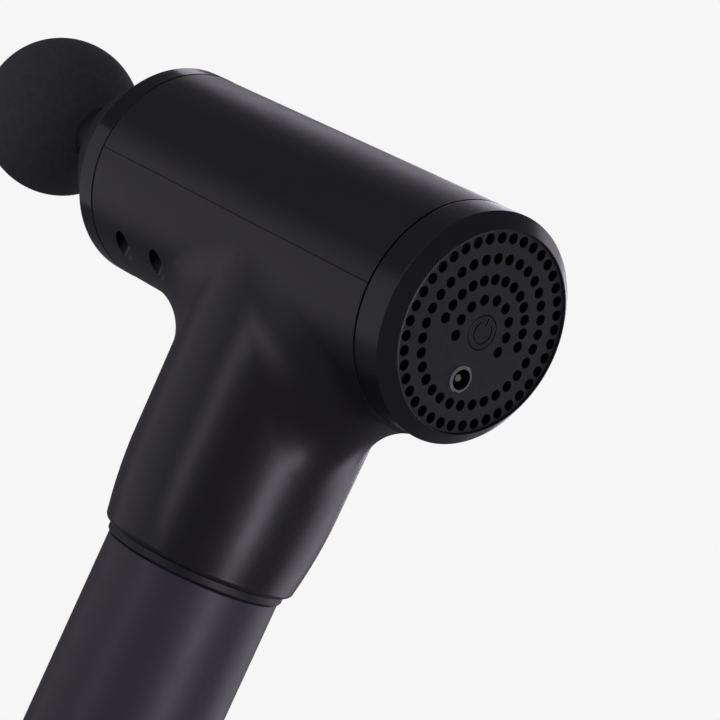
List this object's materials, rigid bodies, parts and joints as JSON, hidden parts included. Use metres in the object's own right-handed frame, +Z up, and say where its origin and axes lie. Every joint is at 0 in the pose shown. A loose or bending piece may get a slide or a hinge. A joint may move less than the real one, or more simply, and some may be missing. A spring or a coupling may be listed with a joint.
{
  "type": "massage gun",
  "caption": "Hand-held percussion massage gun: a round barrel with a ball head and a rear grille lies across a straight round handle.",
  "frame": {"origin": "centre of the foot pad's underside, on the handle's axis", "axes": "+Z up the handle, +X out of the barrel towards the ball head, the XZ plane is the plane of symmetry"},
  "size_m": [0.2246, 0.0624, 0.2402],
  "materials": {
    "casing": "fine matt black moulded ABS",
    "grip": "satin charcoal soft-touch sleeve",
    "collar": "black recessed ring",
    "gloss_ring": "polished black ring",
    "nose": "matt black nose",
    "seal": "matt black rubber",
    "foam": "dense matt black EVA foam",
    "stem": "black nylon",
    "rear": "satin black bevelled ring",
    "grille": "satin black perforated disc",
    "button": "satin black button with a power symbol",
    "jack_ring": "bright plated ring",
    "jack_case": "black nylon",
    "jack_pin": "plated pin",
    "board": "green circuit board",
    "switch": "black push switch",
    "fan": "black fan plastic",
    "steel": "bright steel",
    "zinc": "zinc plated steel",
    "aluminium": "machined aluminium",
    "bronze": "sintered bronze",
    "copper": "enamelled copper",
    "core": "laminated steel",
    "magnet": "nickel plated magnet",
    "liner": "black glass-filled nylon",
    "cell": "wrapped round cell; aluminium stands in for the cell's mean density",
    "holder": "pale cell holder",
    "foot": "matt black rubber"
  },
  "bodies": {
    "housing": {"upper_shell": "casing", "lower_shell": "casing", "front_ring": "gloss_ring", "nose_cover": "nose", "nose_seal": "seal", "rear_ring": "rear", "grille_disc": "grille", "button_switch": "switch", "dc_jack_ring": "jack_ring", "dc_jack_case": "jack_case", "dc_jack_pin": "jack_pin", "control_board": "board", "fan_frame": "fan", "motor_bracket": "aluminium", "motor_base": "aluminium", "motor_bearings": "steel", "motor_stator": "core", "motor_windings": "copper", "guide_block": "aluminium", "shaft_bushes": "bronze", "neck_ring": "collar", "grip_sleeve": "grip", "handle_liner": "liner", "base_cap": "casing", "foot_pad": "foot", "battery_cells": "cell", "cell_holders": "holder", "cell_straps": "zinc", "shell_screws": "zinc", "guide_screws": "zinc", "motor_screws": "zinc", "base_screws": "zinc"},
    "crank": {"motor_bell": "core", "motor_magnets": "magnet", "motor_shaft": "steel", "crank_disc": "steel", "counterweight": "zinc", "crank_pin": "steel", "crank_clip": "steel"},
    "rod": {"connecting_rod": "aluminium", "crank_bearing": "steel"},
    "piston": {"piston_shaft": "steel", "wrist_pin": "steel"},
    "head": {"head_stem": "stem", "head_o_rings": "seal", "ball_head": "foam"},
    "fan": {"fan_impeller": "fan", "fan_shaft": "steel"},
    "button": {"power_button": "button"}
  },
  "joints": [
    {"name": "crank_spin", "type": "hinge", "parent": "housing", "child": "crank", "pos_m": [0, 0, 0.209], "axis": [0, 0, 1], "continuous": true},
    {"name": "rod_pivot", "type": "hinge", "parent": "crank", "child": "rod", "pos_m": [-0.005, 0, 0.209], "axis": [0, 0, 1], "continuous": true},
    {"name": "head_stroke", "type": "slide", "parent": "housing", "child": "piston", "axis": [1, 0, 0], "range_m": [0, 0.01]},
    {"name": "head_pull", "type": "slide", "parent": "piston", "child": "head", "axis": [1, 0, 0], "range_m": [0, 0.026]},
    {"name": "fan_spin", "type": "hinge", "parent": "housing", "child": "fan", "pos_m": [-0.039, 0, 0.209], "axis": [1, 0, 0], "continuous": true},
    {"name": "power_press", "type": "slide", "parent": "housing", "child": "button", "axis": [1, 0, 0], "range_m": [0, 0.0004], "stiffness_N_per_m": 3000}
  ],
  "couplings": [
    {"joint": "rod_pivot", "follows": "crank_spin", "ratio": -1}
  ]
}
